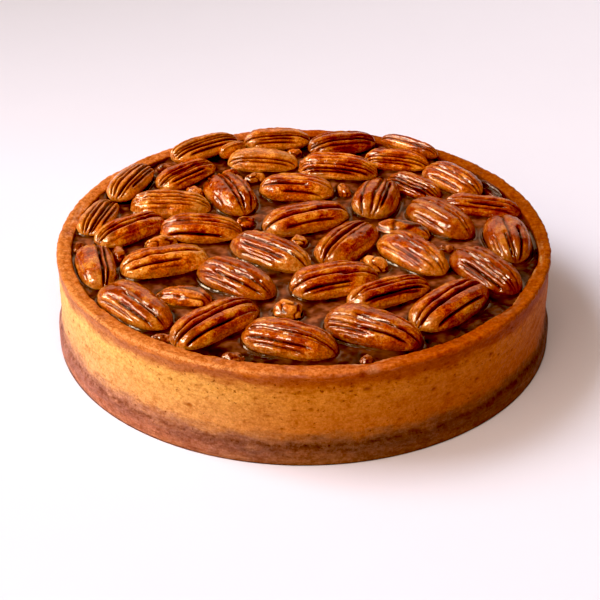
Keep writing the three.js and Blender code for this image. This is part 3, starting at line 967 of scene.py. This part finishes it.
def curve(corners, steps):
    """Points on a smooth line through the corners, with so many steps between each two."""
    places = []
    for i, count in enumerate(steps):
        p = [corners[min(max(i + k, 0), len(corners) - 1)] for k in (-1, 0, 1, 2)]
        p = [np.array(c, float) for c in p]
        for t in np.arange(count) / count:
            place = (
                2 * p[1]
                + (p[2] - p[0]) * t
                + (2 * p[0] - 5 * p[1] + 4 * p[2] - p[3]) * t**2
                + (3 * p[1] - p[0] - 3 * p[2] + p[3]) * t**3
            )
            places.append(place / 2)
    return places + [np.array(corners[-1], float)]


def crust_profile():
    """Radius and height of points along the shell's section, from the middle of the underside."""
    wall = RIM_RADIUS - 0.5
    inside = RIM_RADIUS - WALL
    foot = RIM_RADIUS + FOOT_SWELL - 0.1
    below = [(30, 0), (70, 0), (foot - 3, 0), (foot - 0.25, 0)]
    above = [
        (foot - 0.2, 0.02), (foot - 0.02, 1.2), (foot, 4.0), (foot - 0.1, FOOT_HEIGHT - 1.4),
        (wall + 0.3, FOOT_HEIGHT + 1.6), (wall - 0.1, 14), (wall - 0.1, 20), (wall, 28), (wall, 34.5),
        (RIM_RADIUS - 0.15, 37.2), (RIM_RADIUS - 0.05, 38.9), (RIM_RADIUS - 0.5, 39.7),
        (RIM_RADIUS - 1.5, 39.95), (inside + 2.2, 39.7), (inside + 0.6, 39.3), (inside, 38.3),
        (inside - 0.4, 34), (inside - 1.2, 20), (inside - 2, BASE), (60, BASE), (25, BASE),
    ]
    steps = [4, 4, 5, 5, 8, 11, 15, 12, 4, 4, 4, 4, 5, 4, 4, 2, 2, 2, 1, 1]
    return np.array(curve(below, [1, 2, 2]) + curve(above, steps))


def pits(degrees, z, outside):
    """How deep each place lies in a pit: those that show, and others drawn at random."""
    draw = np.random.default_rng(5)
    places = zip(draw.uniform(-12, 200, 70), draw.uniform(11, 35, 70))
    back = [(at, up, draw.uniform(0.45, 0.9)) for at, up in places]
    places = zip(draw.uniform(200, 348, 60), draw.uniform(10, 36, 60))
    front = [(at, up, 0.38) for at, up in places]
    places = zip(draw.uniform(215, 340, 26), draw.uniform(27, 35, 26))
    front += [(at, up, 0.46) for at, up in places]
    pit = np.zeros_like(z)
    for at, up, size in SEEN_PITS + back + front:
        away = turned(degrees, at) * math.pi / 180 * RIM_RADIUS
        hole = bell(np.hypot(away * 0.7, z - up), size) * outside
        pit = np.maximum(pit, hole * min(1, size / 0.75))
    return pit


def build_crust():
    """The pastry: its section turned round, with a worn rim, fine relief, pits and chips."""
    profile = crust_profile()
    turn = 2 * np.pi * np.arange(CRUST_TURNS) / CRUST_TURNS
    radius, heading = np.meshgrid(profile[:, 0], turn, indexing="ij")
    z = np.repeat(profile[:, 1:], CRUST_TURNS, axis=1)
    inside = RIM_RADIUS - WALL
    degrees = np.degrees(heading)
    # The rim's waver and chips, as in the solid.
    waver = RIM_WAVER * (0.6 * np.sin(3 * heading + 1) + 0.4 * np.sin(7 * heading + 2.4))
    chip = np.zeros_like(z)
    for at, wide, deep in CHIPS:
        chip += deep * bell(turned(degrees, at), wide)
    high = smooth(CRUST_HEIGHT - 6, CRUST_HEIGHT - 3, z)
    inner = smooth(inside + 3.4, inside + 0.8, radius) * high
    thick = THICKER + FRONT_THICKER * bell(degrees - 264, 38)
    thick += RIGHT_THICKER * bell(turned(degrees, 345), 40)
    grow = inner * (waver + chip - thick)
    wall_inside = smooth(inside + 0.5, inside - 0.1, radius)
    drop = high * (np.minimum(waver, 0) - 0.4 * chip * inner)
    radius = radius + grow * (radius > 80)
    z = z + drop
    # Fine relief, pushed out along the section's own outward direction.
    slope = np.gradient(profile, axis=0)
    slope /= np.linalg.norm(slope, axis=1)[:, None]
    out_r = np.repeat(slope[:, 1:], CRUST_TURNS, axis=1)
    out_z = -np.repeat(slope[:, :1], CRUST_TURNS, axis=1)
    unrolled = z + radius - RIM_RADIUS  # runs on over the rim, so that the noise does too
    spot = np.stack([RIM_RADIUS * np.cos(heading), RIM_RADIUS * np.sin(heading), unrolled], axis=-1)
    flat = spot.reshape(-1, 3)
    low = smooth(13, 7, z) * (radius > inside)
    relief = 0.22 * noise(flat, 16, 1) + 0.16 * noise(flat * [1, 1, 2.5], 6, 2)
    relief += 0.09 * noise(flat * [1, 1, 1.6], 2.2, 3) + 0.05 * noise(flat, 1.1, 4)
    relief = relief.reshape(z.shape)
    streaks = noise(flat * [1, 1, 5.0], 5.5, 7).reshape(z.shape)
    relief += 0.2 * low * streaks
    relief -= CREASE * bell(z - CREASE_HEIGHT, 0.7) * (1 + streaks).clip(0, 1)
    rim = smooth(36, 39, z)
    relief += rim * 0.2 * noise(flat, 1.6, 8).reshape(z.shape)
    relief += rim * 0.14 * noise(flat, 3.6, 12).reshape(z.shape)
    pit = pits(degrees, z, radius > inside + 2)
    relief -= PIT_DEPTH * pit
    visible = (radius > 90) & (z > 0.2)
    relief = np.where(visible, relief, 0)
    radius = np.minimum(radius + relief * out_r, RIM_RADIUS + FOOT_SWELL)
    z = np.maximum(z + relief * out_z, 0)
    rings = np.stack([radius * np.cos(heading), radius * np.sin(heading), z], axis=-1)
    points, faces = loft(rings, (0, 0, 0), (0, 0, BASE))
    crumb = np.clip(chip * inner * 1.2, 0, 1) * smooth(-0.3, 0.5, streaks)
    flaw = bell(degrees - FLAW[0], 1.1) * bell(z - FLAW[1], 1.3)
    crumb = np.maximum(crumb, flaw * (radius > inside + 2) * (0.5 + 0.3 * streaks))
    # The pits' share is painted shade in them.
    look = np.stack([np.clip(pit * 1.2, 0, 1), crumb, wall_inside], axis=-1).reshape(-1, 3)
    look = np.vstack([[0, 0, 0], look, [0, 0, 1]])
    make("crust_baked", points, faces, CRUST, look, ["crust"])


build_crust()
build_filling()
build_crumbs()
for number in HALVES:
    build_half(number)
for number in PIECES:
    build_piece(number)


# ---- Floor, light and camera ----
BLACK = 0.013  # the picture's black point, which gives the darks their depth
FLOOR_REACH = 6.0  # in m
LENS = 102.8  # in mm, on a sensor 36 mm wide
CAMERA_PLACE = (0, -0.6074, 0.3825)
CAMERA_DOWN = 31.549  # degrees below level
CAMERA_YAW = -0.14  # degrees off the pie's +Y


def build_floor():
    """A pale floor with painted shade towards the back left."""
    mesh = bpy.data.meshes.new("floor")
    corners = [(FLOOR_REACH * i, FLOOR_REACH * j, 0) for i, j in ((-1, -1), (1, -1), (1, 1), (-1, 1))]
    mesh.from_pydata(corners, [], [(0, 1, 2, 3)])
    floor = bpy.data.objects.new("floor", mesh)
    bpy.context.scene.collection.objects.link(floor)
    paint, tree, shader, where = material("floor_paint", Roughness=0.9, Specular_IOR_Level=0.1)
    tone = mix(tree, grain(tree, where, 40, 2), (0.93, 0.905, 0.93, 1), (0.95, 0.925, 0.95, 1))
    spot = add(tree, "ShaderNodeSeparateXYZ", {"Vector": where}).outputs
    # Painted shade on the floor, deepest towards the back left.
    back = spread(tree, spot["Y"], 0.12, 0.4, 0.0, 1.0)
    left = spread(tree, spot["X"], 0.2, -0.2, 0.22, 1.0)
    tone = mix(tree, times(tree, back, left), tone, (0.63, 0.6, 0.58, 1))
    tree.links.new(tone, shader.inputs["Base Color"])
    mesh.materials.append(paint)


def softbox(name, azimuth, elevation, distance, size, power, colour, glossy=True, diffuse=True):
    """A soft light that looks at the pie from a heading and a height, both in degrees.

    Its size in m is one number for a square, or a width and a height.
    """
    lamp = bpy.data.lights.new(name, "AREA")
    lamp.shape = "RECTANGLE"
    lamp.size, lamp.size_y = size if isinstance(size, tuple) else (size, size)
    lamp.energy = power
    lamp.color = colour
    light = bpy.data.objects.new(name, lamp)
    turn, up = math.radians(azimuth), math.radians(elevation)
    way = Vector((math.cos(turn) * math.cos(up), math.sin(turn) * math.cos(up), math.sin(up)))
    light.location = way * distance
    light.rotation_euler = (-way).to_track_quat("-Z", "Y").to_euler()
    light.visible_glossy = glossy
    light.visible_diffuse = diffuse
    bpy.context.scene.collection.objects.link(light)


def build_light():
    """Daylight from the left, warm fill, lights that only show as gloss, and a dim world."""
    softbox("key", 168, 46, 6.0, 3.2, 325, (0.94, 0.97, 1.13), glossy=False)
    softbox("front", 224, 36, 5.0, 3.4, 104, (1.0, 0.84, 0.74), glossy=False)
    softbox("fill", 284, 60, 5.0, 4.0, 86, (1.0, 0.78, 0.66), glossy=False)
    softbox("glint", 172, 34, 5.0, (2.2, 1.0), 140, (1.0, 0.82, 0.62), diffuse=False)
    softbox("glint_near", 203, 42, 5.0, (1.8, 1.1), 205, (1.0, 0.82, 0.62), diffuse=False)
    softbox("shine", 190, 40, 5.0, 5.6, 55, (1.0, 0.5, 0.16), diffuse=False)
    softbox("behind", 92, 28, 5.0, (6.0, 2.6), 60, (1.0, 0.64, 0.44), diffuse=False)
    world = bpy.data.worlds.new("studio")
    world.use_nodes = True
    tree = world.node_tree
    fill = add(tree, "ShaderNodeBackground", {"Color": (1.0, 0.76, 0.64, 1), "Strength": 0.11})
    seen = add(tree, "ShaderNodeBackground", {"Color": (0.93, 0.88, 0.89, 1), "Strength": 0.9})
    ray = add(tree, "ShaderNodeLightPath").outputs["Is Camera Ray"]
    both = add(tree, "ShaderNodeMixShader", {0: ray, 1: fill.outputs[0], 2: seen.outputs[0]})
    tree.links.new(both.outputs[0], tree.nodes["World Output"].inputs["Surface"])
    world.cycles_visibility.glossy = False
    bpy.context.scene.world = world


def build_camera():
    """The camera, and how the picture's tones are shown."""
    camera = bpy.data.objects.new("camera", bpy.data.cameras.new("camera"))
    camera.data.lens = LENS
    camera.data.sensor_width = 36
    camera.data.clip_start = 0.01
    camera.location = CAMERA_PLACE
    down, yaw = math.radians(CAMERA_DOWN), math.radians(CAMERA_YAW)
    ahead = (math.sin(yaw) * math.cos(down), math.cos(yaw) * math.cos(down), -math.sin(down))
    camera.rotation_euler = Vector(ahead).to_track_quat("-Z", "Y").to_euler()
    bpy.context.scene.collection.objects.link(camera)
    bpy.context.scene.camera = camera
    view = bpy.context.scene.view_settings
    view.view_transform = "Standard"
    view.use_curve_mapping = True
    view.curve_mapping.black_level = (BLACK, BLACK, BLACK)
    view.curve_mapping.update()


build_floor()
build_light()
build_camera()
